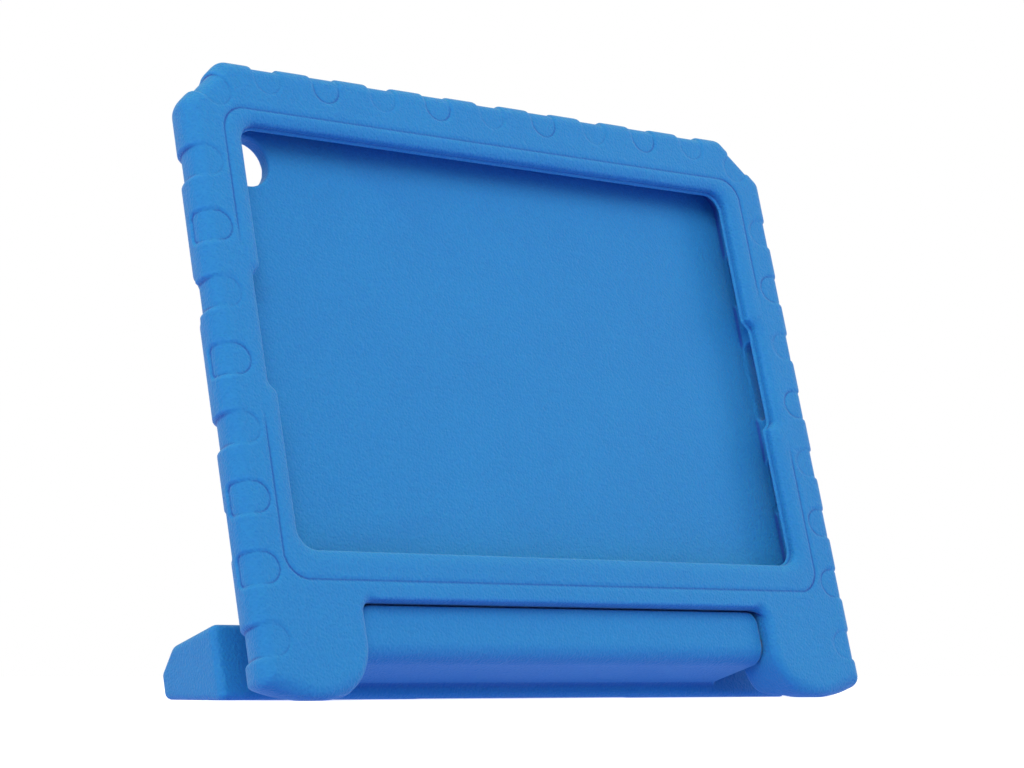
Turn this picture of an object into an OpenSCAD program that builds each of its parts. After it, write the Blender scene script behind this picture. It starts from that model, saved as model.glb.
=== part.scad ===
// Foam case for a tablet, standing on its folded-back handle.
// Lengths are in millimetres. The shell and the handle are drawn in the panel frame:
// x to the right, y into the case from the face of the tablet's glass, z up the panel,
// with the origin at the middle of the glass. stand() leans that frame back and puts the
// feet and the handle on the floor, with the middle of the whole case above the origin.

/* [Tablet] */
// Width of the tablet, lying on its long side
tablet_w = 250.6; // [246:0.1:254]
// Height of the tablet, lying on its long side
tablet_h = 174.1; // [168:0.1:178]
// Thickness of the tablet
tablet_t = 7.5; // [6:0.1:8.5]
// Radius of the tablet's corners
tablet_r = 9; // [6:0.5:12]

/* [Shell] */
// Foam beside the pocket
side_wall = 17.3; // [15:0.1:19]
// Foam above the pocket
top_wall = 20.5; // [17:0.1:24]
// Foam below the pocket, down to the front of the soles
foot_wall = 51.4; // [49:0.1:53]
// Foam in front of the glass
lip_t = 6; // [5:0.1:7]
// Foam behind the tablet
back_wall = 8; // [6:0.1:10]
// Length of the cut across each upper corner
corner_cut = 19; // [14:0.5:22]
// Bevel along the long outer edges in front
edge_bevel = 3; // [1:0.5:4]
// Bevel along the long outer edges behind
back_bevel = 7; // [4:0.5:8]

/* [Window] */
// Width of the window
window_w = 238.8; // [236:0.2:243]
// Window's top edge, above the middle of the glass
window_top = 81; // [78:0.5:83]
// Window's lower edge, below the middle of the glass
window_low = 82.5; // [79:0.5:83]
// Width of the bevel from the nose of the lip up to the front face
lip_step = 3; // [1.5:0.1:4]
// Depth of the relief beside the front camera and the home button
relief = 3; // [2:0.1:3.5]

/* [Grip scoops] */
// Spacing of the scoops down the sides
side_pitch = 25.9; // [25:0.1:26.4]
// Spacing of the scoops along the top
top_pitch = 26.4; // [25:0.1:28]
// Width of a scoop
scoop_w = 12; // [9:0.5:13]
// Depth of a scoop
scoop_d = 1.5; // [1:0.1:2]

/* [Handle and stand] */
// Angle that the panel leans back
lean = 15.25; // [14:0.25:17]
// Half the width of the notch between the feet
notch_half = 96.5; // [90:0.5:100]
// Length of the handle, from its hub's front face to the end of the grip
handle_l = 72.5; // [68:0.1:75]
// Half the width of the grip
grip_half = 137; // [125:0.5:141]
// Half the width of the hand hole
hand_half = 56; // [45:0.5:62]
// Diameter of each pivot pin
pin_d = 6; // [5:0.5:7]

/* [Hidden] */
$fn = 64;

foam_blue = [0.10, 0.36, 0.72];
nylon_grey = [0.25, 0.26, 0.28];
steel_grey = [0.70, 0.71, 0.73];
washer_black = [0.08, 0.08, 0.09];

pocket_gap = 0.4;
pocket_w = tablet_w + 2 * pocket_gap;
pocket_h = tablet_h + 2 * pocket_gap;
pocket_d = tablet_t + 0.5;
front_y = -lip_t;
back_y = pocket_d + back_wall;
thick = back_y - front_y;
half_w = pocket_w / 2 + side_wall;
top_z = pocket_h / 2 + top_wall;
sole_z = -pocket_h / 2 - foot_wall;
nose_t = 2;
bevel_steps = 4;
window_r = 7;
relief_half = 24;
over = 1;

// Scoops: how far they reach onto the front face, how deep the closed ones go, and which
// of the eight down each side are closed, counted from the top
scoop_reach = 12;
closed_scoop = 8;
first_scoop_z = 64.5;
closed_at = [1, 3, 5, 6];
rear_scoop_z = [13.3, -75.5];
rear_scoop_w = 18;
rear_scoop_l = 12;

// Border groove round the window
border_half = 127.7;
border_top = 87.8;
border_low = 94.8;
border_r = 10;
groove_w = 1.6;
groove_d = 0.6;

// The hinge: its axis runs along x through the middle of the feet
hub_top = -102;
hub_low = -122.5;
hub_front = -0.5;
hub_gap = 0.7;
hub_half = notch_half - hub_gap;
pivot_y = hub_front + 8;
pivot_z = hub_top - 12.5;
ceiling_z = hub_top + 0.4;
sweep_r = 14.5;
notch_r = 5;
foot_r = 22;
foot_cut_x = 20;
foot_cut_z = 6.5;
foot_cut_r = 4;
corner_r = 6;

// The grip, behind the shell; its front face clears the soles when the handle is folded down
grip_gap = 0.4;
grip_front = pivot_y + pivot_z - sole_z + grip_gap;
grip_end = hub_front + handle_l;
grip_top = hub_top + 2;
grip_slope_y = 10;
grip_slope_z = 8;
hole_front = 37;
hole_rear = 56;
hole_r = 8;

// Hardware inside the hinge
core_r = 5;
pin_r = pin_d / 2;
pin_in = 20;
pin_out = 14;
bore_gap = 0.05;
socket_r = 5;
flange_r = 6.3;
flange_t = 1.5;
washer_r = 5.5;
washer_t = hub_gap - 0.1;

// Cut-outs for the tablet's camera, buttons and ports
camera_x = -111;
camera_z = 73;
camera_r = 10;
camera_rim_r = 12.5;
camera_rim_t = 2;
volume_x = -82;
volume_l = 30;
port_l = 34;
speaker_l = 24;
speaker_z = 46;
slot_t = 7;
slot_r = 3;

// Height of the glass's middle above the floor, and the shift that centres the case
glass_h = -sole_z * cos(lean) - lip_t * sin(lean);
function world_y(y, z) = y * cos(lean) + z * sin(lean);
shift_y = -(world_y(front_y, sole_z + edge_bevel) + world_y(back_y, top_z - back_bevel)) / 2;

// Points of an outline given as corners [x, y, radius], with each corner made an arc
function unit(v) = v / norm(v);
function wrap(a) = a > 180 ? a - 360 : a < -180 ? a + 360 : a;
function corner(a, p, b, r) =
    let (u = unit([a[0] - p[0], a[1] - p[1]]), v = unit([b[0] - p[0], b[1] - p[1]]),
         half = acos(u * v) / 2,
         c = [p[0], p[1]] + unit(u + v) * r / sin(half),
         s = [p[0], p[1]] + u * r / tan(half) - c,
         e = [p[0], p[1]] + v * r / tan(half) - c,
         a0 = atan2(s[1], s[0]),
         turn = wrap(atan2(e[1], e[0]) - a0),
         n = max(2, ceil(abs(turn) / 15)))
    [for (i = [0:n]) c + r * [cos(a0 + turn * i / n), sin(a0 + turn * i / n)]];
function rounded(pts) =
    let (n = len(pts))
    [for (i = [0:n - 1]) each pts[i][2] > 0
        ? corner(pts[(i + n - 1) % n], pts[i], pts[(i + 1) % n], pts[i][2])
        : [[pts[i][0], pts[i][1]]]];
function is_closed(i) = len(search(i, closed_at)) > 0;

// The points of a right half, followed by those of its mirror image
function both(right) =
    concat(right, [for (i = [len(right) - 1:-1:0]) [-right[i][0], right[i][1], right[i][2]]]);

// The panel frame, standing on the floor
module stand() {
    translate([0, shift_y, glass_h]) rotate([-lean, 0, 0]) children();
}

// A plate of the panel, from one depth to another, with its outline in x and z
module plate(from, to) {
    translate([0, to, 0]) rotate([90, 0, 0]) linear_extrude(to - from) children();
}

// A bar along x, centred, with its section in y and z
module bar(length) {
    rotate([90, 0, 90]) translate([0, 0, -length / 2]) linear_extrude(length) children();
}

// A round bar along x, from one place to another, on the hinge's axis
module axle(r, from, to) {
    translate([from, pivot_y, pivot_z]) rotate([0, 90, 0]) cylinder(r = r, h = to - from);
}

// Everything below the floor, to be cut away
module below_floor() {
    translate([-200, -150, -60]) cube([400, 300, 60]);
}

// Outline of the shell: two feet with a notch between them, and cut upper corners
module shell_outline() {
    polygon(rounded(both([
        [notch_half, ceiling_z, notch_r],
        [notch_half, sole_z, foot_r],
        [half_w - foot_cut_x, sole_z, foot_cut_r],
        [half_w, sole_z + foot_cut_z, foot_cut_r],
        [half_w, top_z - corner_cut, corner_r],
        [half_w - corner_cut, top_z, corner_r]])));
}

// Outline of the window, with reliefs for the front camera and the home button
module window_outline(grow = 0) {
    half = window_w / 2 + grow;
    high = window_top + grow;
    low = -window_low - grow;
    polygon(rounded(both([
        [half, low, window_r],
        [half, -relief_half, 1.5],
        [half + relief, relief - relief_half, 1.5],
        [half + relief, relief_half - relief, 1.5],
        [half, relief_half, 1.5],
        [half, high, window_r]])));
}

// Slope from the nose of the lip up to the front face, in fine steps
module lip_bevel() {
    rise = (lip_t - nose_t) / bevel_steps;
    for (i = [1:bevel_steps]) {
        plate(front_y - over, -nose_t - (i - 1) * rise) window_outline(lip_step * i / bevel_steps);
    }
}

// Hole through the back for the camera, with a wider step at the outside
module camera_hole() {
    translate([camera_x, 0, camera_z]) rotate([-90, 0, 0]) {
        cylinder(r = camera_r, h = back_y + over);
        translate([0, 0, back_y - camera_rim_t]) cylinder(r = camera_rim_r, h = camera_rim_t + over);
    }
}

// A rectangle with rounded corners, from one height to another, centred left to right
module round_box(half, low, high, r) {
    polygon(rounded(both([[half, low, r], [half, high, r]])));
}

// Groove round the window, broken off beside the two reliefs
module border_groove() {
    g = groove_w / 2;
    difference() {
        round_box(border_half + g, -border_low - g, border_top + g, border_r);
        round_box(border_half - g, g - border_low, border_top - g, border_r - g);
        square([2 * half_w, 2 * relief_half + 8], center = true);
    }
}

module pocket_outline() {
    round_box(pocket_w / 2, -pocket_h / 2, pocket_h / 2, tablet_r);
}

// A slot through the right-hand wall, at a height on the panel
module side_slot(z, length) {
    translate([pocket_w / 2 + side_wall / 2, pocket_d / 2, z]) bar(side_wall + 2 * over)
        round_box(slot_t / 2, -length / 2, length / 2, slot_r);
}

// A slot through the top wall
module top_slot(x, length) {
    translate([x, pocket_d / 2, pocket_h / 2 - over]) linear_extrude(top_wall + 2 * over)
        round_box(length / 2, -slot_t / 2, slot_t / 2, slot_r);
}

// Square prism on edge, which bevels a straight edge that lies along x or along z
module bevel_x(y, z, size) {
    side = size * sqrt(2);
    translate([0, y, z]) rotate([45, 0, 0]) cube([2 * half_w + 2, side, side], center = true);
}

module bevel_z(x, y, size) {
    side = size * sqrt(2);
    translate([x, y, 0]) rotate([0, 0, 45]) cube([side, side, 300], center = true);
}

// One grip scoop, cut 'deep' into the side from the front; its round end lies on the front face
module scoop(deep) {
    translate([-scoop_d, front_y - over, -scoop_w / 2]) cube([scoop_d + over, deep + over, scoop_w]);
    plate(front_y - over, front_y + scoop_d / 2) {
        translate([-scoop_reach + scoop_w / 2, -scoop_w / 2]) square([scoop_reach, scoop_w]);
        translate([-scoop_reach + scoop_w / 2, 0]) circle(d = scoop_w);
    }
}

// The open scoops run through to the back; the closed ones end behind the front edge
module scoops() {
    for (side = [0, 1]) mirror([side, 0, 0]) {
        for (i = [0:7]) {
            translate([half_w, 0, first_scoop_z - i * side_pitch])
                scoop(is_closed(i) ? closed_scoop : thick + over);
        }
        for (z = rear_scoop_z) {
            translate([half_w - scoop_d, back_y - rear_scoop_l, z - rear_scoop_w / 2])
                cube([scoop_d + over, rear_scoop_l + over, rear_scoop_w]);
        }
        translate([half_w - corner_cut / 2, 0, top_z - corner_cut / 2]) rotate([0, -45, 0])
            scoop(thick + over);
    }
    for (i = [-4:4]) {
        translate([i * top_pitch, 0, top_z]) rotate([0, -90, 0])
            scoop(i % 2 == 0 ? thick + over : closed_scoop);
    }
}

// The one-piece foam shell
module foam_shell() {
    color(foam_blue) difference() {
        stand() difference() {
            plate(front_y, back_y) shell_outline();
            plate(0, pocket_d) pocket_outline();
            plate(-nose_t - over, over) window_outline();
            lip_bevel();
            plate(front_y - over, front_y + groove_d) border_groove();
            axle(sweep_r, -notch_half, notch_half);
            for (side = [-1, 1]) socket_space(side);
            camera_hole();
            side_slot(0, port_l);
            for (z = [-speaker_z, speaker_z]) side_slot(z, speaker_l);
            top_slot(volume_x, volume_l);
            scoops();
            bevel_x(front_y, top_z, edge_bevel);
            bevel_x(back_y, top_z, back_bevel);
            bevel_x(front_y, sole_z, edge_bevel);
            for (x = [-half_w, half_w]) {
                bevel_z(x, front_y, edge_bevel);
                bevel_z(x, back_y, back_bevel);
            }
        }
        below_floor();
    }
}

// Space for a pivot socket in the wall of a foot
module socket_space(side) {
    mirror([side < 0 ? 1 : 0, 0, 0]) {
        axle(flange_r, notch_half - over, notch_half + flange_t);
        axle(socket_r, notch_half, notch_half + flange_t + pin_out + 2);
    }
}

// Section of the hub and the arms, and section of the grip
module hub_section() {
    polygon(rounded([
        [hub_front, hub_top, 2.5],
        [hub_front, hub_low, 6],
        [grip_front + over, hub_low, 0],
        [grip_front + over, hub_top, 0]]));
}

// Outline of the hub from the front, with upper corners that clear the notch's
module hub_outline() {
    polygon(rounded(both([
        [hub_half, hub_low - over, 0.5],
        [hub_half, hub_top, notch_r + 0.5]])));
}

module grip_section() {
    polygon(rounded([
        [grip_front, grip_top, 2],
        [grip_front, hub_low - 3, 2],
        [grip_front + 4, hub_low - 10, 0],
        [grip_end, hub_low - 10, 0],
        [grip_end, grip_top - grip_slope_z, 2],
        [grip_end - grip_slope_y, grip_top, 2]]));
}

// The foam handle: a hub in the notch, two arms, a hand hole and a wide grip
module foam_handle() {
    color(foam_blue) difference() {
        stand() difference() {
            union() {
                intersection() {
                    bar(2 * hub_half) hub_section();
                    plate(hub_front - over, grip_front + 2 * over) hub_outline();
                }
                bar(2 * grip_half) grip_section();
            }
            translate([0, 0, hub_low - 20]) linear_extrude(60)
                round_box(hand_half, hole_front, hole_rear, hole_r);
            axle(core_r, -hub_half - over, hub_half + over);
        }
        below_floor();
    }
}

// Stiff bar through the hub, with a blind hole for a pin in each end
module handle_core_bar() {
    color(nylon_grey) stand() difference() {
        axle(core_r, -hub_half, hub_half);
        for (side = [0, 1]) mirror([side, 0, 0]) axle(pin_r, hub_half - pin_in, hub_half + over);
    }
}

module pivot_pin(side) {
    color(steel_grey) stand() mirror([side, 0, 0])
        axle(pin_r, hub_half - pin_in, notch_half + flange_t + pin_out - 1);
}

// Flanged cup moulded into a foot, in which the pin turns
module pivot_socket(side) {
    color(nylon_grey) stand() mirror([side, 0, 0]) difference() {
        union() {
            axle(flange_r, notch_half, notch_half + flange_t);
            axle(socket_r, notch_half, notch_half + flange_t + pin_out + 2);
        }
        axle(pin_r + bore_gap, notch_half - over, notch_half + flange_t + pin_out);
    }
}

// Washer that rubs on the socket's flange and holds the handle where it is put
module friction_washer(side) {
    color(washer_black) stand() mirror([side, 0, 0]) difference() {
        axle(washer_r, hub_half, hub_half + washer_t);
        axle(pin_r + bore_gap, hub_half - over, hub_half + washer_t + over);
    }
}

foam_shell();
foam_handle();
handle_core_bar();
pivot_pin(1);  // pivot_pin_left
pivot_pin(0);  // pivot_pin_right
pivot_socket(1);  // pivot_socket_left
pivot_socket(0);  // pivot_socket_right
friction_washer(1);  // friction_washer_left
friction_washer(0);  // friction_washer_right
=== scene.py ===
# %% [markdown]
# # A foam tablet case on its folded handle
# The case is two mouldings of soft foam: a thick shell round the tablet, and a handle that turns on
# two steel pins between the shell's feet. This lesson loads the exact model of the case as a fixed
# frame, and then makes the soft, rounded, grained foam that the exact model can only hint at.

import math

import bpy
import numpy as np
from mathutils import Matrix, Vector


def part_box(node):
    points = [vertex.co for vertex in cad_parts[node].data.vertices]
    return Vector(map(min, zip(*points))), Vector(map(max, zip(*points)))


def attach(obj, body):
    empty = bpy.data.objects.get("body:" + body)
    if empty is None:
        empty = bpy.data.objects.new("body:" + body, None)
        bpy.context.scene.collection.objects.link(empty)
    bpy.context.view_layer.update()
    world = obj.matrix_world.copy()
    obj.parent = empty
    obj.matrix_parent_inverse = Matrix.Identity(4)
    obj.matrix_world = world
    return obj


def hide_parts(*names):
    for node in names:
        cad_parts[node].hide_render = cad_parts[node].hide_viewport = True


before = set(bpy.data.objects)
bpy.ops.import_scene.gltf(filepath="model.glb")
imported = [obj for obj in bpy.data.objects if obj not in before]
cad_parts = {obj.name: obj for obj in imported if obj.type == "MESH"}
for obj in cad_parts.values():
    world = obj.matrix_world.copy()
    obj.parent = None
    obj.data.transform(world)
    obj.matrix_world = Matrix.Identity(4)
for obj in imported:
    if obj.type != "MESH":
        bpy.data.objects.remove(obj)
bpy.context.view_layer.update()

# %% [markdown]
# The shell is easiest to think about lying flat, as the mould maker sees it: x to the right, y into
# the case from the tablet's glass, z up the panel. The real case stands with that panel leaning
# back, so every foam piece is made flat, in millimetres, and tipped up at the end.

# %% The panel and how it stands
LEAN = math.radians(15.25)
COS, SIN = math.cos(LEAN), math.sin(LEAN)
FRONT, BACK = -6.0, 16.0
HALF_W, TOP, SOLE = 143.0, 107.95, -138.85
GLASS_H = -SOLE * COS + FRONT * SIN
shell_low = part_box("foam_shell")[0]
CAD_BEVEL = 3.0
SHIFT = shell_low.y * 1000 - (FRONT * COS + (SOLE + CAD_BEVEL) * SIN)
MM = 0.001


def stand_up(points):
    """Panel millimetres to metres in the frame the case stands in."""
    x, y, z = points.T
    return np.stack([x, y * COS + z * SIN + SHIFT, -y * SIN + z * COS + GLASS_H], 1) * MM


print("glass height", round(GLASS_H, 2), "shift", round(SHIFT, 3))

# %% [markdown]
# Moulded foam has no sharp edge anywhere: its outside corners are round and its inside corners are
# filled. Bevelled polygons can do that, but a bevel fails where a scoop crosses a rounded edge. A
# distance field has no such trouble. It gives each point of space its distance to the surface,
# less than nothing inside, and two fields meet in a round edge of any radius with one expression.

# %% Distance to a flat outline
def unit(v):
    return v / np.hypot(*v)


class Outline:
    """A closed outline of straight sides and rounded corners (a, b, radius)."""

    def __init__(self, corners):
        spots = np.array([c[:2] for c in corners], float)
        self.arcs, self.ring, ends = [], [], []
        for i, (p, (_, _, r)) in enumerate(zip(spots, corners)):
            u, v = unit(spots[i - 1] - p), unit(spots[(i + 1) % len(spots)] - p)
            half = math.acos(float(u @ v)) / 2
            cut, centre = r / math.tan(half), p + unit(u + v) * r / math.sin(half)
            start, stop = p + u * cut, p + v * cut
            ends.append((start, stop))
            self.arcs.append((centre, r, unit(p - centre), math.sin(half)))
            a = math.atan2(*(start - centre)[::-1])
            turn = (math.atan2(*(stop - centre)[::-1]) - a + math.pi) % (2 * math.pi) - math.pi
            for t in np.linspace(0, turn, 9):
                self.ring.append(centre + r * np.array([math.cos(a + t), math.sin(a + t)]))
        self.sides = [(ends[i - 1][1], ends[i][0]) for i in range(len(ends))]
        self.ring = np.array(self.ring)

    def distance(self, a, b):
        """Signed distance of each point (a, b), which are arrays of one shape."""
        best = np.full(a.shape, 1e9)
        for p, q in self.sides:
            d = q - p
            t = np.clip(((a - p[0]) * d[0] + (b - p[1]) * d[1]) / (d @ d + 1e-12), 0, 1)
            best = np.minimum(best, np.hypot(a - p[0] - t * d[0], b - p[1] - t * d[1]))
        for centre, r, middle, reach in self.arcs:
            da, db = a - centre[0], b - centre[1]
            far = np.hypot(da, db) + 1e-9
            on = (da * middle[0] + db * middle[1]) / far >= reach
            best = np.where(on, np.minimum(best, abs(far - r)), best)
        inside = np.zeros(a.shape, bool)
        for p, q in zip(self.ring, np.roll(self.ring, -1, 0)):
            if p[1] != q[1]:
                across = (p[1] > b) != (q[1] > b)
                inside ^= across & (a < (q[0] - p[0]) * (b - p[1]) / (q[1] - p[1]) + p[0])
        return np.where(inside, -best, best)


def both(right):
    """The corners of a right half, then those of its mirror image."""
    return right + [(-a, b, r) for a, b, r in reversed(right)]


def box_outline(half, low, high, r):
    return Outline(both([(half, low, r), (half, high, r)]))


# %% Rounded meetings of fields
def meet(a, b, r):
    """Where both fields are inside, with the edge between them rounded to radius r."""
    return np.minimum(np.maximum(a, b), -r) + np.hypot(np.maximum(a + r, 0), np.maximum(b + r, 0))


def cut(solid, hole, r):
    """The solid with the hole taken out of it, and a rim of radius r."""
    return meet(solid, -hole, r)


def join(a, b, r):
    """Both solids, with the inside corner between them filled to radius r."""
    return -meet(-a, -b, r)


def ease(x, low, high):
    """0 below low, 1 above high, and an even slope between."""
    t = np.clip((x - low) / (high - low), 0, 1)
    return t * t * (3 - 2 * t)


# %% [markdown]
# A field becomes a mesh by surface nets: every small box of the grid that the surface crosses gets
# one point, at the middle of the crossings on its edges, and the points of neighbouring boxes are
# joined into quads. The result is an even, closed skin. The flat stretches don't need so many
# faces, so a Decimate modifier thins them, and the shading normals then come from the field itself,
# which keeps the rounds round. It has a price: a large triangle that ends at a scoop's edge carries
# that edge's tilted normal over the flat, and soft wedges of light and dark show across the back.

# %% From field to mesh
CORNERS = np.array([(i, j, k) for i in (0, 1) for j in (0, 1) for k in (0, 1)])
EDGES = [(a, b) for a in range(8) for b in range(a + 1, 8)
         if abs(CORNERS[a] - CORNERS[b]).sum() == 1]
MOST_FACES = 170_000


def surface_net(axes, field):
    """Points and quads of the surface where the field is zero."""
    inside = field < 0
    count = sum(inside[i:i + field.shape[0] - 1, j:j + field.shape[1] - 1, k:k + field.shape[2] - 1]
                .astype(np.int8) for i, j, k in CORNERS)
    cells = np.argwhere((count > 0) & (count < 8))
    number = np.full(count.shape, -1, np.int64)
    number[tuple(cells.T)] = np.arange(len(cells))
    value = np.stack([field[tuple((cells + c).T)] for c in CORNERS], 1)
    place = [np.stack([axis[cells[:, n] + c[n]] for c in CORNERS], 1)
             for n, axis in enumerate(axes)]
    total, crossings = np.zeros((len(cells), 3)), np.zeros(len(cells))
    for a, b in EDGES:
        crossed = (value[:, a] < 0) != (value[:, b] < 0)
        t = np.where(crossed, value[:, a] / (value[:, a] - value[:, b] + (~crossed)), 0)
        for n in range(3):
            total[:, n] += crossed * (place[n][:, a] + t * (place[n][:, b] - place[n][:, a]))
        crossings += crossed
    quads = []
    for n in range(3):
        m, o = (n + 1) % 3, (n + 2) % 3
        low = inside.take(range(inside.shape[n] - 1), n)
        high = inside.take(range(1, inside.shape[n]), n)
        for goes_out in (True, False):
            edges = np.argwhere((low & ~high) if goes_out else (~low & high))
            edges = edges[(edges[:, m] > 0) & (edges[:, o] > 0)
                          & (edges[:, m] < count.shape[m]) & (edges[:, o] < count.shape[o])]
            step_m, step_o = np.eye(3, dtype=int)[m], np.eye(3, dtype=int)[o]
            ring = [edges - step_m - step_o, edges - step_o, edges, edges - step_m]
            quad = np.stack([number[tuple(c.T)] for c in ring], 1)
            quads.append(quad if goes_out else quad[:, ::-1])
    return total / crossings[:, None], np.concatenate(quads)


def sample(axes, field, points):
    """The field's value at points between its grid lines."""
    low, part = [], []
    for n, axis in enumerate(axes):
        i = np.clip(np.searchsorted(axis, points[:, n]) - 1, 0, len(axis) - 2)
        low.append(i)
        part.append(np.clip((points[:, n] - axis[i]) / (axis[i + 1] - axis[i]), 0, 1))
    out = 0
    for c in CORNERS:
        weight = np.prod([part[n] if c[n] else 1 - part[n] for n in range(3)], 0)
        out = out + weight * field[tuple(low[n] + c[n] for n in range(3))]
    return out


def foam_piece(name, axes, field, node, body):
    """Meshes a field, thins its flats, and stands it up as the piece that replaces a node."""
    points, quads = surface_net(axes, field)
    mesh = bpy.data.meshes.new(name)
    mesh.from_pydata(points, [], quads.tolist())
    piece = bpy.data.objects.new(name, mesh)
    bpy.context.collection.objects.link(piece)
    thin = piece.modifiers.new("thin_the_flats", "DECIMATE")
    thin.ratio = min(1.0, MOST_FACES / (2 * len(quads)))
    thinned = bpy.data.meshes.new_from_object(
        piece.evaluated_get(bpy.context.evaluated_depsgraph_get()))
    piece.modifiers.clear()
    piece.data = thinned
    thinned.name = name
    bpy.data.meshes.remove(mesh)
    flat = np.empty(len(thinned.vertices) * 3, np.float32)
    thinned.vertices.foreach_get("co", flat)
    flat = flat.reshape(-1, 3).astype(float)
    slope = np.gradient(field, *axes)
    normal = np.stack([sample(axes, s, flat) for s in slope], 1)
    normal /= np.linalg.norm(normal, axis=1)[:, None] + 1e-9
    bend = sum(np.gradient(s, axes[n], axis=n) for n, s in enumerate(slope))
    edge = thinned.attributes.new("edge", "FLOAT", "POINT")
    edge.data.foreach_set("value", np.clip(sample(axes, bend, flat), -1.5, 1.5).astype(np.float32))
    thinned.vertices.foreach_set("co", stand_up(flat).astype(np.float32).ravel())
    tipped = np.stack([normal[:, 0], normal[:, 1] * COS + normal[:, 2] * SIN,
                       normal[:, 2] * COS - normal[:, 1] * SIN], 1)
    thinned.polygons.foreach_set("use_smooth", [True] * len(thinned.polygons))
    thinned.normals_split_custom_set_from_vertices(tipped)
    thinned.update()
    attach(piece, body)
    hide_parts(node)
    print(name, len(thinned.vertices), "points,", len(thinned.polygons), "faces")
    return piece


PITCH = 0.62


def lines(low, high):
    """Grid lines from low to high, about a pitch apart."""
    return np.linspace(low, high, int(round((high - low) / PITCH)) + 1)


# %% [markdown]
# The shell starts as a thick plate with its outline: two feet, a notch between them and cut upper
# corners. Its long edges are rounded by 6 mm in front and 15.5 mm behind, and by less in the notch.
# Towards the window the front face falls away a little, as a cushion does.

# %% The shell's plate
NOTCH, CEILING = 96.5, -101.6
CORNER_CUT, EDGE_R, REAR_R = 19, 6, 15.5
PIVOT_Y, PIVOT_Z = 7.5, -114.5
axes = (lines(-HALF_W - 2, HALF_W + 2), lines(FRONT - 2, BACK + 2), lines(SOLE - 4, TOP + 2))
X, Y, Z = np.meshgrid(*axes, indexing="ij", sparse=True)
flat_x, flat_z = np.meshgrid(axes[0], axes[2], indexing="ij")
height = -Y * SIN + Z * COS + GLASS_H

shell_outline = Outline(both([
    (NOTCH, CEILING, 5), (NOTCH, SOLE, 22), (HALF_W - 20, SOLE, 6),
    (HALF_W, SOLE + 6.5, 4), (HALF_W, TOP - CORNER_CUT, 6), (HALF_W - CORNER_CUT, TOP, 6)]))
side = shell_outline.distance(flat_x, flat_z)
in_notch = ease(-flat_z, 88, 100) * ease(NOTCH + 14 - abs(flat_x), 0, 10)
at_ceiling = in_notch * ease(NOTCH - 1 - abs(flat_x), 0, 6)


def window_outline():
    half, low, high = 119.1, -82.5, 81.3
    relief, edge = 3.3, 24
    return Outline(both([
        (half, low, 7), (half, -edge, 2), (half + relief, relief - edge, 2),
        (half + relief, edge - relief, 2), (half, edge, 2), (half, high, 7)]))


window = window_outline().distance(flat_x, flat_z)[:, None, :]
fall = 1.4 * (1 - ease(window, 0, 7)) ** 2
front_r = EDGE_R - 2.6 * in_notch - 2.2 * at_ceiling
shell = meet(side[:, None, :], FRONT + fall - Y, front_r[:, None, :])
shell = meet(shell, Y - BACK, (REAR_R - 12 * in_notch)[:, None, :])
print("grid", shell.shape)

# %% [markdown]
# Grip scoops run round the outer edge, a finger's width each. Every one starts as a round end on
# the front face, where it is shallow, and runs over the rounded edge onto the side, where it is
# deep; some stop there in a crisp crease, and the others run through to the back. To follow the
# rounded edge, each is drawn on the skin itself: u is the way over the edge, and w the way along it.

# %% Grip scoops
over_side = EDGE_R + side[:, None, :]
over_front = FRONT + EDGE_R - Y
skin_u = np.where(over_front <= 0, over_front + 0 * over_side,
                  np.where(over_side <= 0, EDGE_R * math.pi / 2 - over_side,
                           EDGE_R * np.arctan2(over_front, np.maximum(over_side, 1e-6))))
SCOOP_HALF, SCOOP_END, SCOOP_REAR = 6.1, 16.5, -2.2


def scoop(u, w, closed):
    """How far inside a scoop's outline each point of the skin is."""
    end = np.hypot(np.maximum(u - SCOOP_END + SCOOP_HALF, 0), w) - SCOOP_HALF
    if not closed:
        return -end
    r = 2.4
    across, along = abs(w) - SCOOP_HALF + r, SCOOP_REAR - u + r
    rear = np.hypot(np.maximum(across, 0), np.maximum(along, 0))
    rear = rear + np.minimum(np.maximum(across, along), 0) - r
    return -np.maximum(end, rear)


def press(where, w, closed):
    """Presses one scoop into the part of the field that 'where' picks out."""
    inside = scoop(skin_u[where], w, closed)
    depth, front_share, crease = (0.75, 0.5, 0.32) if closed else (1.35, 0.25, 0.14)
    fade = 1 - (1 - front_share) * ease(skin_u[where], 0, 9)
    shell[where] += depth * fade * ease(inside, -0.35, 0.45)
    shell[where] += crease * np.exp(-((inside - 0.2) / 0.55) ** 2) * (Y < BACK - 4)


PITCH_DOWN, PITCH_ALONG, FIRST = 25.9, 26.4, 64.5
CLOSED_DOWN = (1, 3, 5, 6)
whole = slice(None)
for i in range(8):
    middle = FIRST - i * PITCH_DOWN
    rows = np.flatnonzero(abs(axes[2] - middle) < SCOOP_HALF + 2)
    for columns in (np.flatnonzero(axes[0] < -119), np.flatnonzero(axes[0] > 119)):
        where = (slice(columns[0], columns[-1] + 1), whole, slice(rows[0], rows[-1] + 1))
        press(where, Z[:, :, where[2]] - middle, i in CLOSED_DOWN)
for i in range(-4, 5):
    middle = i * PITCH_ALONG
    columns = np.flatnonzero(abs(axes[0] - middle) < SCOOP_HALF + 2)
    rows = np.flatnonzero(axes[2] > 85)
    where = (slice(columns[0], columns[-1] + 1), whole, slice(rows[0], rows[-1] + 1))
    press(where, X[where[0]] - middle, i % 2 == 1)
print("scoops", 8 * 2 + 9)

# %% [markdown]
# The cut corners have one open scoop each, and the sides two wide flats on their rear edge.

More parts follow.
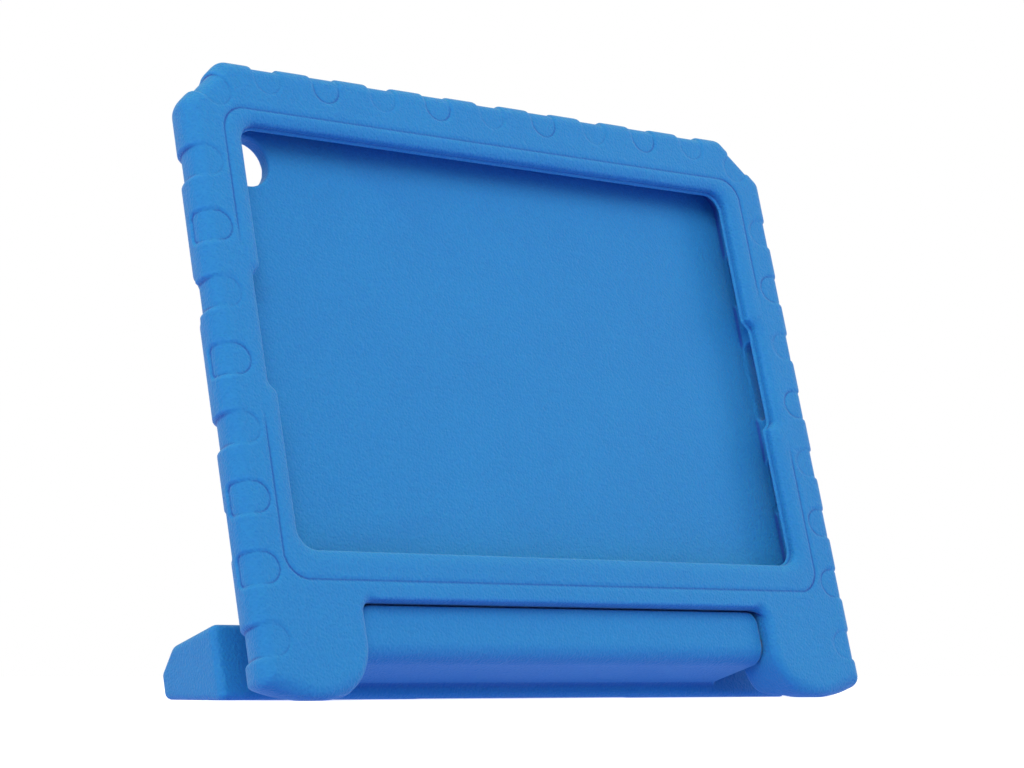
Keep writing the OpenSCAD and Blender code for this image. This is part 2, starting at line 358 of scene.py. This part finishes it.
# %% Corner scoops and rear flats
FLAT_MIDDLES = (13.3, -75.5)
for sign in (-1, 1):
    columns, rows = np.flatnonzero(sign * axes[0] > 105), np.flatnonzero(axes[2] > 72)
    where = (slice(columns[0], columns[-1] + 1), whole, slice(rows[0], rows[-1] + 1))
    along = (sign * X[where[0]] - HALF_W - Z[:, :, where[2]] + TOP) / math.sqrt(2)
    press(where, along, False)
    columns = np.flatnonzero(sign * axes[0] > 128)
    for middle in FLAT_MIDDLES:
        rows = np.flatnonzero(abs(axes[2] - middle) < 12)
        where = (slice(columns[0], columns[-1] + 1), whole, slice(rows[0], rows[-1] + 1))
        flat = ease(9 - abs(Z[:, :, where[2]] - middle), -0.6, 0.6) * ease(Y, 5.5, 7)
        shell[where] += 1.3 * flat * ease(side[where[0], None, where[2]], -9, -5)

# %% [markdown]
# A raised lip holds the tablet in. Seen from inside the window outwards, it is a thin round nose
# against the glass, less than a millimetre wide, a step up of about three millimetres, and the front
# face. A fine groove runs round the front. It nearly fades out beside the two reliefs, where a tablet
# has its camera and its button.

# %% Window, pocket and border
POCKET_W, POCKET_H, POCKET_Y = 125.7, 87.45, 4
GROOVE_DEPTH, GROOVE_WIDTH = 0.6, 0.62
pocket = box_outline(POCKET_W, -POCKET_H, POCKET_H, 9).distance(flat_x, flat_z)[:, None, :]
border = box_outline(127.7, -94.8, 87.8, 10).distance(flat_x, flat_z)[:, None, :]
groove_fade = 0.12 + 0.88 * ease(abs(Z), 24, 44)
shell += GROOVE_DEPTH * groove_fade * np.exp(-(border / GROOVE_WIDTH) ** 2) * (Y < 2)
shell = cut(shell, meet(window - 0.9, Y + 1.3, 0.4), 1.3)
shell = cut(shell, np.maximum(window, Y - POCKET_Y), 0.55)
shell = cut(shell, meet(pocket, abs(Y - POCKET_Y) - 4, 0.8), 0.5)

# %% [markdown]
# The remaining openings: the camera hole in the back with its wider rim, slots in the right-hand
# side and in the top for the tablet's ports and buttons, and the cups for the hinge in the feet.

# %% Holes, slots and soles
CAMERA_X, CAMERA_Z, CAMERA_R, CAMERA_RIM_R = -111, 73, 10, 12.5
FLANGE_R, SOCKET_R, PIN_R = 14.5, 6.35, 5.05
lens_hole = np.hypot(X - CAMERA_X, Z - CAMERA_Z)
shell = cut(shell, np.maximum(lens_hole - CAMERA_R, POCKET_Y - Y), 1.0)
shell = cut(shell, np.maximum(lens_hole - CAMERA_RIM_R, BACK - 2 - Y), 0.9)
for middle, length in ((0, 34), (46, 24), (-46, 24)):
    slot = box_outline(3.5, middle - length / 2, middle + length / 2, 3).distance(
        *np.meshgrid(axes[1] - POCKET_Y, axes[2], indexing="ij"))[None]
    shell = cut(shell, np.maximum(slot, 122 - X), 0.9)
slot = box_outline(15, -3.5, 3.5, 3).distance(
    *np.meshgrid(axes[0] + 82, axes[1] - POCKET_Y, indexing="ij"))[:, :, None]
shell = cut(shell, np.maximum(slot, 84 - Z), 0.9)
axle = np.hypot(Y - PIVOT_Y, Z - PIVOT_Z)
shell = cut(shell, np.maximum(axle - FLANGE_R, abs(X) - NOTCH), 0.6)
shell = cut(shell, np.maximum(axle - SOCKET_R, abs(X) - 98.05), 0.2)
shell = cut(shell, np.maximum(axle - PIN_R, abs(X) - 114.05), 0.1)
shell = meet(shell, -height, 2.5)
foam_shell = foam_piece("shell_foam_skin", axes, shell.astype(np.float32), "foam_shell", "case")

# %% [markdown]
# The handle is a bar with two sections: a hub that fills the notch, and behind it a wider grip that
# the case leans on, with a hole for the fingers right through. Both come from their side view,
# drawn once and run from left to right, with the ends rounded.

# %% The handle
HUB_HALF, HUB_TOP, HUB_LOW, HUB_FRONT = 95.8, -101.85, -122.5, -0.5
GRIP_HALF, GRIP_TOP, GRIP_FRONT, GRIP_END = 137.0, -100.0, 32.25, 72.0
axes = (lines(-GRIP_HALF - 2, GRIP_HALF + 2), lines(HUB_FRONT - 2, GRIP_END + 2),
        lines(-138, GRIP_TOP + 2))
X, Y, Z = np.meshgrid(*axes, indexing="ij", sparse=True)
side_y, side_z = np.meshgrid(axes[1], axes[2], indexing="ij")
height = -Y * SIN + Z * COS + GLASS_H
hub = Outline([(HUB_FRONT, HUB_TOP, 1.4), (HUB_FRONT, HUB_LOW, 7),
               (GRIP_FRONT + 4, HUB_LOW, 1), (GRIP_FRONT + 4, HUB_TOP, 1)])
grip = Outline([(GRIP_FRONT, GRIP_TOP, 2.5), (GRIP_FRONT, HUB_LOW - 3, 2),
                (GRIP_FRONT + 4, -136, 1), (GRIP_END, -136, 1),
                (GRIP_END, GRIP_TOP - 8, 4), (GRIP_END - 10, GRIP_TOP, 4)])
ends = box_outline(HUB_HALF, HUB_LOW - 9, HUB_TOP, 5.5).distance(
    *np.meshgrid(axes[0], axes[2], indexing="ij"))[:, None, :]
hub = meet(hub.distance(side_y, side_z)[None], ends, 0.9)
grip = meet(grip.distance(side_y, side_z)[None], abs(X) - GRIP_HALF, 3.2)
handle = join(hub, grip, 2.0)
hand = box_outline(56, 37, 56, 8).distance(
    *np.meshgrid(axes[0], axes[1], indexing="ij"))[:, :, None]
handle = cut(handle, hand, 3.0)
axle = np.hypot(Y - PIVOT_Y, Z - PIVOT_Z)
handle = cut(handle, axle - PIN_R + 0 * X, 0.5)
handle = meet(handle, -height, 2.2)
foam_handle = foam_piece("handle_foam_skin", axes, handle.astype(np.float32), "foam_handle",
                         "handle")

# %% [markdown]
# Materials are nodes, and nodes are easier to read as sums. A small class wraps a socket, so that
# an expression on values adds its Math nodes. Colours go through Mix nodes of their own.

# %% A little language for shader maths
class Value:
    """A socket that can be added to, multiplied and so on."""

    def __init__(self, shop, socket):
        self.shop, self.socket = shop, socket

    def maths(self, operation, a, b):
        return self.shop.node("ShaderNodeMath", {"operation": operation}, {0: a, 1: b})

    def __add__(self, other):
        return self.maths("ADD", self, other)

    def __sub__(self, other):
        return self.maths("SUBTRACT", self, other)

    def __rsub__(self, other):
        return self.maths("SUBTRACT", other, self)

    def __mul__(self, other):
        return self.maths("MULTIPLY", self, other)

    __radd__, __rmul__ = __add__, __mul__


class Shop:
    """A material, or a sky, and the nodes it is made of."""

    def __init__(self, owner, shader="BSDF_PRINCIPLED"):
        owner.use_nodes = True
        self.owner, self.tree = owner, owner.node_tree
        self.shader = next(n for n in self.tree.nodes if n.type == shader)

    def feed(self, socket, value):
        if isinstance(value, Value):
            self.tree.links.new(value.socket, socket)
        else:
            socket.default_value = value

    def node(self, kind, settings=None, inputs=None, output=0):
        """Any node: its settings first, then the values or links of its sockets."""
        made = self.tree.nodes.new(kind)
        for key, value in (settings or {}).items():
            if key == "stops":
                ramp = made.color_ramp.elements
                while len(ramp) < len(value):
                    ramp.new(1)
                for stop, (place, colour) in zip(ramp, value):
                    stop.position, stop.color = place, colour
            else:
                setattr(made, key, value)
        for key, value in (inputs or {}).items():
            self.feed(made.inputs[key], value)
        return Value(self, made.outputs[output])

    def ramp(self, value, low, high):
        """A value spread so that low becomes 0 and high becomes 1."""
        return self.node("ShaderNodeMapRange", {}, {
            "Value": value, "From Min": low, "From Max": high})

    def blend(self, factor, a, b):
        """Colour a where the factor is 0, and b where it is 1."""
        return self.node("ShaderNodeMix", {"data_type": "RGBA"}, {0: factor, 6: a, 7: b}, 2)

    def noise(self, scale, detail=2.0, roughness=0.5):
        where = self.node("ShaderNodeTexCoord", output="Object")
        return self.node("ShaderNodeTexNoise", {}, {
            "Vector": where, "Scale": scale, "Detail": detail, "Roughness": roughness})

    def bump(self, height, strength, distance):
        return self.node("ShaderNodeBump", {}, {
            "Height": height, "Strength": strength, "Distance": distance})

    def finish(self, **sockets):
        for name, value in sockets.items():
            self.feed(self.shader.inputs[name.replace("_", " ")], value)
        return self.owner


# %% [markdown]
# The foam's skin is matt, bright blue and finely pebbled, as the mould leaves it: tight cells a
# millimetre across, with finer pits in them. The colour drifts a little and rubs paler on the outer
# edges, and shade is painted into the creases as a deeper blue. The mesh carries how sharply it
# bends in "edge".

# %% Foam
FOAM = (0.003, 0.228, 0.530, 1)
FOAM_PALE = (0.024, 0.315, 0.64, 1)
# The next colour is painted shade: the deep blue laid into the creases.
FOAM_PAINTED_SHADE = (0.001, 0.060, 0.36, 1)


def foam(name, offset):
    shop = Shop(bpy.data.materials.new(name))
    where = shop.node("ShaderNodeTexCoord", output="Object")
    place = shop.node("ShaderNodeMapping", {}, {"Vector": where, "Location": (offset, 0, 0)})
    cells = shop.node("ShaderNodeTexVoronoi", {"feature": "SMOOTH_F1"}, {
        "Vector": place, "Scale": 950.0, "Smoothness": 0.6, "Randomness": 0.9})
    pits = shop.noise(2300.0, 2.0)
    drift = shop.noise(22.0, 3.0)
    mottle = shop.noise(420.0, 3.0, 0.6)
    bend = shop.node("ShaderNodeAttribute", {"attribute_name": "edge"}, output="Fac")
    worn = shop.ramp(bend * (0.5 + drift), 0.26, 0.9)
    # Painted shade: where the skin bends inwards, in the creases, the colour is darkened to a deeper
    # blue.
    painted_crease_shade = shop.ramp(bend, -0.15, -0.9)
    colour = shop.blend(shop.ramp(drift * 0.6 + mottle * 0.4, 0.3, 0.7),
                        (FOAM[0] * 0.92, FOAM[1] * 0.93, FOAM[2] * 0.96, 1),
                        (FOAM[0] * 1.10, FOAM[1] * 1.06, FOAM[2] * 1.03, 1))
    speckle = shop.ramp(pits * 0.6 + cells * 0.7, 0.25, 0.85)
    colour = shop.blend(speckle * 0.35, colour, FOAM_PALE)
    colour = shop.blend(worn * 0.45, colour, FOAM_PALE)
    # Painted shade laid into the creases.
    colour = shop.blend(painted_crease_shade * 0.85, colour, FOAM_PAINTED_SHADE)
    rough = 0.60 + mottle * 0.16 - worn * 0.08
    height = cells * 0.8 + pits * 0.5 + mottle * 0.5
    grain = shop.bump(height, 0.8, 0.00045)
    return shop.finish(Base_Color=colour, Roughness=rough, Normal=grain, Specular_IOR_Level=0.35,
                       Sheen_Weight=0.18, Sheen_Roughness=0.5, Subsurface_Weight=0.3,
                       Subsurface_Radius=(0.15, 0.45, 1.0), Subsurface_Scale=0.003)


for piece, name, offset in ((foam_shell, "shell_foam", 0.0), (foam_handle, "handle_foam", 0.31)):
    piece.data.materials.clear()
    piece.data.materials.append(foam(name, offset))

# %% [markdown]
# The hinge's hardware keeps its exact shapes and gets real finishes: turned steel pins with fine
# rings round them, moulded nylon with a dull skin and black rubber washers with a bloom of dust.

# %% Hinge hardware
def turned_steel():
    shop = Shop(bpy.data.materials.new("turned_steel"))
    where = shop.node("ShaderNodeTexCoord", output="Object")
    rings = shop.node("ShaderNodeTexWave", {"bands_direction": "X", "wave_profile": "SIN"}, {
        "Vector": where, "Scale": 900.0, "Distortion": 1.5, "Detail": 2.0})
    smear = shop.noise(140.0, 3.0)
    colour = shop.blend(smear, (0.56, 0.57, 0.59, 1), (0.72, 0.73, 0.74, 1))
    return shop.finish(Base_Color=colour, Metallic=1.0, Roughness=0.24 + smear * 0.18,
                       Normal=shop.bump(rings, 0.2, 0.00004))


def dull_skin(name, dark, light, rough, grain):
    shop = Shop(bpy.data.materials.new(name))
    cloud, fine = shop.noise(90.0, 3.0), shop.noise(1800.0, 2.0)
    return shop.finish(Base_Color=shop.blend(cloud, dark, light),
                       Roughness=rough + fine * 0.15,
                       Normal=shop.bump(fine * 0.7 + cloud * 0.3, grain, 0.0001))


steel = turned_steel()
nylon = dull_skin("moulded_nylon", (0.17, 0.175, 0.19, 1), (0.24, 0.245, 0.26, 1), 0.42, 0.25)
rubber = dull_skin("black_rubber", (0.012, 0.012, 0.013, 1), (0.03, 0.03, 0.032, 1), 0.66, 0.4)
FINISHES = {"pivot_pin": steel, "pivot_socket": nylon, "handle_core": nylon, "friction": rubber}
for node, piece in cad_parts.items():
    for start, finish in FINISHES.items():
        if node.startswith(start):
            for slot in piece.material_slots:
                slot.material = finish
print("finishes", len(bpy.data.materials))

# %% [markdown]
# The case stands on a plain white floor under soft light: an even sky, a large key lamp at the
# upper left in front, and weaker ones at the right and the left. A blue light from below stands in
# for what the foam's own parts throw at each other, so the floor lets diffuse light through.

# %% Floor, light and camera
def floor_piece():
    mesh = bpy.data.meshes.new("floor")
    size = 6.0
    mesh.from_pydata([(-size, -size, 0), (size, -size, 0), (size, size, 0), (-size, size, 0)], [],
                     [(0, 1, 2, 3)])
    floor = bpy.data.objects.new("floor", mesh)
    bpy.context.collection.objects.link(floor)
    shop = Shop(bpy.data.materials.new("pale_floor"))
    mesh.materials.append(shop.finish(Base_Color=(0.92, 0.92, 0.92, 1), Roughness=0.9,
                                      Specular_IOR_Level=0.1, Emission_Color=(1, 1, 1, 1),
                                      Emission_Strength=0.6))
    floor.visible_diffuse = False


floor_piece()


def lamp(name, place, target, size, power):
    data = bpy.data.lights.new(name, "AREA")
    data.shape, data.size, data.energy = "DISK", size, power
    made = bpy.data.objects.new(name, data)
    bpy.context.collection.objects.link(made)
    made.location = place
    made.rotation_euler = (Vector(target) - Vector(place)).to_track_quat("-Z", "Y").to_euler()


lamp("key", (-1.1, -1.3, 1.5), (0, 0, 0.1), 1.2, 20.5)
lamp("fill", (1.6, -1.0, 0.9), (0, 0, 0.1), 1.0, 7.5)
lamp("side", (-1.9, -0.1, 0.5), (0, 0, 0.1), 0.9, 5)


SKY_BELOW, SKY_ABOVE = (0.12, 0.33, 0.86, 1), (0.62, 0.62, 0.62, 1)


def sky():
    """White to the camera; for the light, white above and blue below the floor."""
    world = bpy.data.worlds.new("studio_sky")
    shop = Shop(world, "BACKGROUND")
    where = shop.node("ShaderNodeTexCoord", output="Generated")
    up = shop.node("ShaderNodeSeparateXYZ", {}, {0: where}, "Z")
    shade = shop.node("ShaderNodeValToRGB", {"stops": ((0.46, SKY_BELOW), (0.56, SKY_ABOVE))},
                      {0: shop.ramp(up, -1, 1)})
    shop.finish(Color=shade)
    seen = shop.node("ShaderNodeBackground", {}, {"Color": (1, 1, 1, 1)})
    path = shop.node("ShaderNodeLightPath", output="Is Camera Ray")
    light = Value(shop, shop.shader.outputs[0])
    mixed = shop.node("ShaderNodeMixShader", {}, {0: path, 1: light, 2: seen})
    out = next(n for n in shop.tree.nodes if n.type == "OUTPUT_WORLD")
    shop.feed(out.inputs["Surface"], mixed)
    bpy.context.scene.world = world


sky()
bpy.context.scene.view_settings.view_transform = "Standard"

lens = bpy.data.cameras.new("camera")
lens.sensor_width, lens.lens = 36.0, 94.4
lens.clip_start, lens.clip_end = 0.01, 50
camera = bpy.data.objects.new("camera", lens)
bpy.context.collection.objects.link(camera)
camera.location = (-0.6357, -0.8219, 0.0093)
look = Vector((0.6048, 0.7891, 0.1074))
camera.rotation_euler = look.to_track_quat("-Z", "Y").to_euler()
bpy.context.scene.camera = camera
print("lamps 3, camera at", tuple(camera.location))
